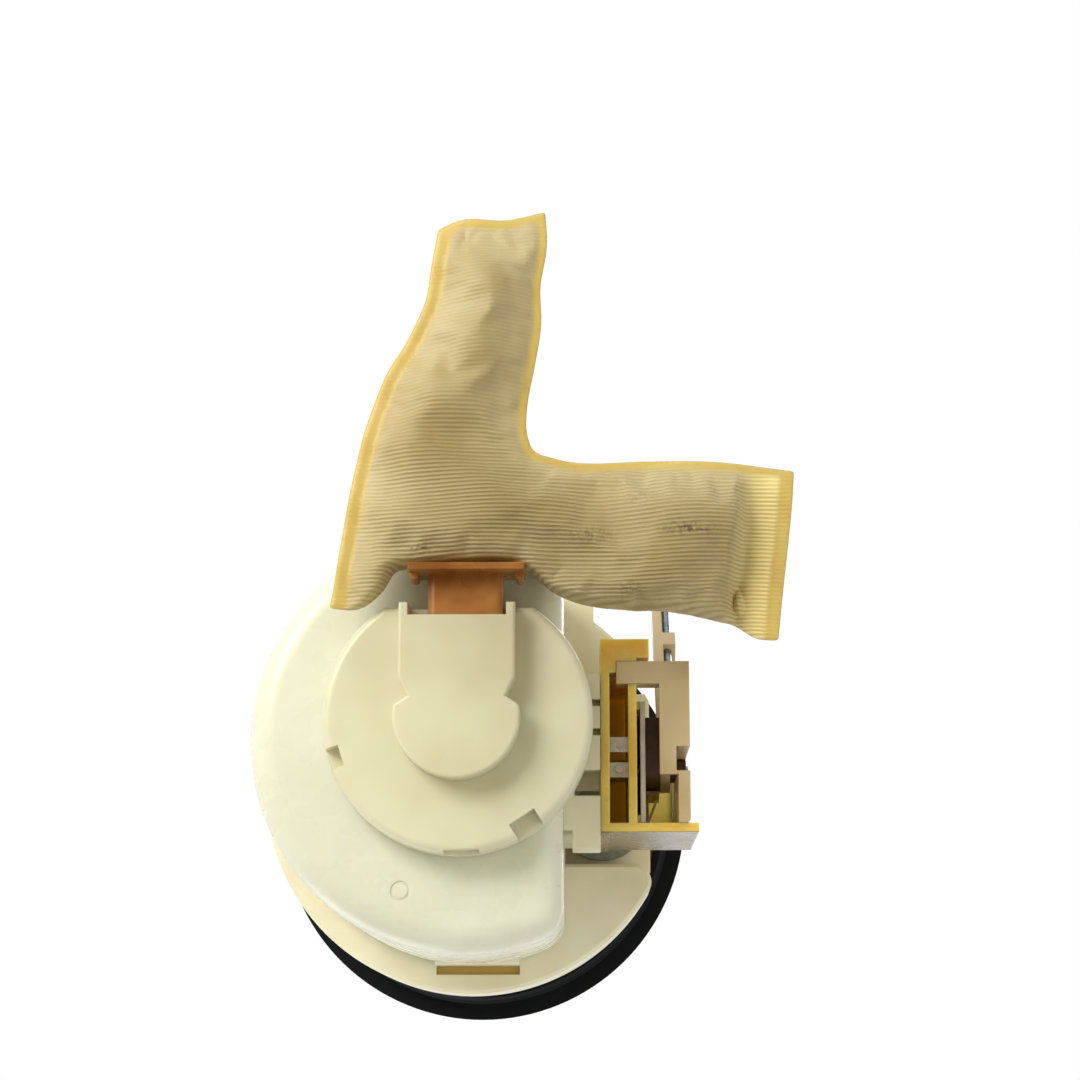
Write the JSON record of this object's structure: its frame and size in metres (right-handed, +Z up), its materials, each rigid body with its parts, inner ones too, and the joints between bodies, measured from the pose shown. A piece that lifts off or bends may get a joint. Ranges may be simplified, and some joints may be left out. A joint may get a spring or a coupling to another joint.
{
  "type": "fuel pump module",
  "caption": "In-tank fuel pump module: flange with seal, sprung carrier, filter case with pump, folded strainer bag and swinging float level sender.",
  "frame": {"origin": "tank axis at the lower face of the flange seal, which lies on the tank wall", "axes": "+Z up out of the tank through the flange, +X towards the level sender, -Y towards the strainer"},
  "size_m": [0.1623, 0.2051, 0.213],
  "materials": {
    "flange_plastic": "moulded acetal, cream",
    "seal_rubber": "matt moulded rubber",
    "contact_brass": "bright stamped brass",
    "steel": "ground steel",
    "spring_steel": "drawn spring wire",
    "cream_plastic": "moulded acetal, cream",
    "case_plastic": "milky translucent nylon, glossy",
    "filter_paper": "resin-treated paper",
    "plated_steel": "zinc plated sheet steel",
    "cast_aluminium": "die cast",
    "black_plastic": "moulded glass-filled nylon",
    "magnet": "sintered ferrite",
    "bush_bronze": "sintered bronze",
    "carbon": "pressed carbon",
    "black_rubber": "moulded fuel-proof rubber",
    "cap_plastic": "moulded acetal, cream yellow",
    "brown_plastic": "fuel-stained orange-brown nylon",
    "mesh_cloth": "ribbed woven nylon with welded amber borders",
    "amber_plastic": "translucent amber acetal",
    "card_ceramic": "ceramic with printed track",
    "tin": "tinned brass",
    "hub_plastic": "dark brown moulded plastic",
    "float_foam": "closed-cell nitrile foam",
    "impeller_plastic": "moulded phenolic",
    "laminated_steel": "stacked sheet",
    "copper": "enamelled and bare copper"
  },
  "bodies": {
    "flange": {"flange_plate": "flange_plastic", "flange_seal": "seal_rubber", "connector_pins": "contact_brass", "guide_rods": "steel", "rod_clips": "steel"},
    "pump_unit": {"height_springs": "spring_steel", "carrier": "cream_plastic", "filter_case": "case_plastic", "case_lid": "case_plastic", "filter_element": "filter_paper", "filter_end_plates": "case_plastic", "pump_shell": "plated_steel", "pump_inlet_cover": "cast_aluminium", "pump_plate": "cast_aluminium", "pump_end_cover": "black_plastic", "pump_terminals": "contact_brass", "magnets": "magnet", "shaft_bushes": "bush_bronze", "brushes": "carbon", "brush_springs": "spring_steel", "pump_cushion": "black_rubber", "pump_seal": "black_rubber", "check_valve_guide": "black_plastic", "lower_cap": "cap_plastic", "cap_seal": "black_rubber", "strainer_neck": "brown_plastic", "strainer_frame": "cream_plastic", "strainer_bag": "mesh_cloth", "regulator_body": "plated_steel", "regulator_can": "plated_steel", "regulator_diaphragm": "black_rubber", "regulator_ring": "black_rubber", "regulator_clip": "spring_steel", "sender_bracket": "cap_plastic", "sender_frame": "amber_plastic", "sender_cover": "cap_plastic", "pivot_pin": "steel", "resistor_card": "card_ceramic", "sender_terminals": "tin", "regulator_spring": "spring_steel", "check_valve_spring": "spring_steel"},
    "float_arm": {"arm_hub": "hub_plastic", "contact_wiper": "contact_brass", "arm_wire": "steel", "arm_clip": "cap_plastic"},
    "float": {"float": "float_foam"},
    "rotor": {"pump_shaft": "steel", "impeller": "impeller_plastic", "armature_core": "laminated_steel", "armature_coils": "copper", "commutator": "copper"},
    "check_valve": {"check_valve": "black_plastic"},
    "regulator_valve": {"regulator_valve": "plated_steel"}
  },
  "joints": [
    {"name": "height_slide", "type": "slide", "parent": "flange", "child": "pump_unit", "axis": [0, 0, 1], "range_m": [0, 0.02], "stiffness_N_per_m": 400, "springref_m": -0.03, "deforming": ["height_springs"]},
    {"name": "arm_swing", "type": "hinge", "parent": "pump_unit", "child": "float_arm", "pos_m": [0.055, 0, -0.12], "axis": [1, 0, 0], "range_deg": [0, 68]},
    {"name": "float_turn", "type": "hinge", "parent": "float_arm", "child": "float", "pos_m": [0.0803, -0.09033, -0.01968], "axis": [1, 0, 0], "continuous": true},
    {"name": "rotor_spin", "type": "hinge", "parent": "pump_unit", "child": "rotor", "pos_m": [0, -0.0079, -0.12], "axis": [0, 0, 1], "continuous": true},
    {"name": "check_valve_lift", "type": "slide", "parent": "pump_unit", "child": "check_valve", "axis": [0, 0, 1], "range_m": [0, 0.0015], "stiffness_N_per_m": 60, "springref_m": -0.004, "deforming": ["check_valve_spring"]},
    {"name": "regulator_valve_lift", "type": "slide", "parent": "pump_unit", "child": "regulator_valve", "axis": [0, 0, -1], "range_m": [0, 0.0012], "stiffness_N_per_m": 2500, "springref_m": -0.004, "deforming": ["regulator_spring"]}
  ]
}
